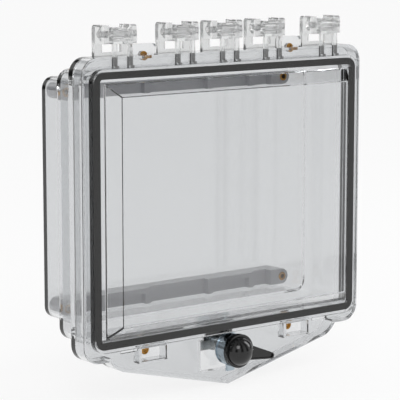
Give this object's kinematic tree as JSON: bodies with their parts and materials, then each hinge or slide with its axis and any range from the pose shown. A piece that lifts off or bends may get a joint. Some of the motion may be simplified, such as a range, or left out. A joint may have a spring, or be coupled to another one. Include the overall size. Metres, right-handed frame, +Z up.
{
  "type": "hinged enclosure",
  "caption": "Clear moulded box with a stepped housing, a raised see-through window cover on tall top hinges, a seal and a quarter-turn wing latch.",
  "frame": {"origin": "centre of the rear wall's outer face", "axes": "+Z up, +Y out of the back of the box, -Y towards the window, +X to the right as seen from the front"},
  "size_m": [0.346, 0.139, 0.3642],
  "materials": {
    "clear_polycarbonate": "clear moulded polycarbonate, polished tool",
    "clear_hinge": "clear moulded polycarbonate",
    "clear_pin": "clear extruded polycarbonate rod",
    "brass": "turned brass",
    "epdm": "matt black cellular rubber",
    "zinc_steel": "zinc-plated steel",
    "die_cast_zinc": "polished die-cast zinc",
    "black_polyamide": "glossy black moulded polyamide"
  },
  "bodies": {
    "housing": {"rear_housing": "clear_polycarbonate", "upper_rail": "clear_polycarbonate", "lower_rail": "clear_polycarbonate", "rail_bushes": "brass", "mounting_bushes": "brass", "strike_plate": "zinc_steel", "strike_screws": "zinc_steel", "hinge_1_fixed_leaf": "clear_hinge", "hinge_2_fixed_leaf": "clear_hinge", "hinge_3_fixed_leaf": "clear_hinge", "hinge_4_fixed_leaf": "clear_hinge", "hinge_5_fixed_leaf": "clear_hinge", "hinge_1_pin": "clear_pin", "hinge_2_pin": "clear_pin", "hinge_3_pin": "clear_pin", "hinge_4_pin": "clear_pin", "hinge_5_pin": "clear_pin"},
    "cover": {"cover_window": "clear_polycarbonate", "cover_gasket": "epdm", "hinge_1_cover_leaf": "clear_hinge", "hinge_2_cover_leaf": "clear_hinge", "hinge_3_cover_leaf": "clear_hinge", "hinge_4_cover_leaf": "clear_hinge", "hinge_5_cover_leaf": "clear_hinge", "latch_housing": "die_cast_zinc", "latch_washer": "zinc_steel", "latch_nut": "zinc_steel"},
    "latch": {"latch_knob": "black_polyamide", "latch_spindle": "zinc_steel", "latch_cam": "zinc_steel", "cam_nut": "zinc_steel"}
  },
  "joints": [
    {"name": "cover_hinge", "type": "hinge", "parent": "housing", "child": "cover", "pos_m": [0, -0.099, 0.1665], "axis": [-1, 0, 0], "range_deg": [0, 165]},
    {"name": "latch_turn", "type": "hinge", "parent": "cover", "child": "latch", "pos_m": [0, -0.11, -0.152], "axis": [0, 1, 0], "range_deg": [0, 90]}
  ]
}
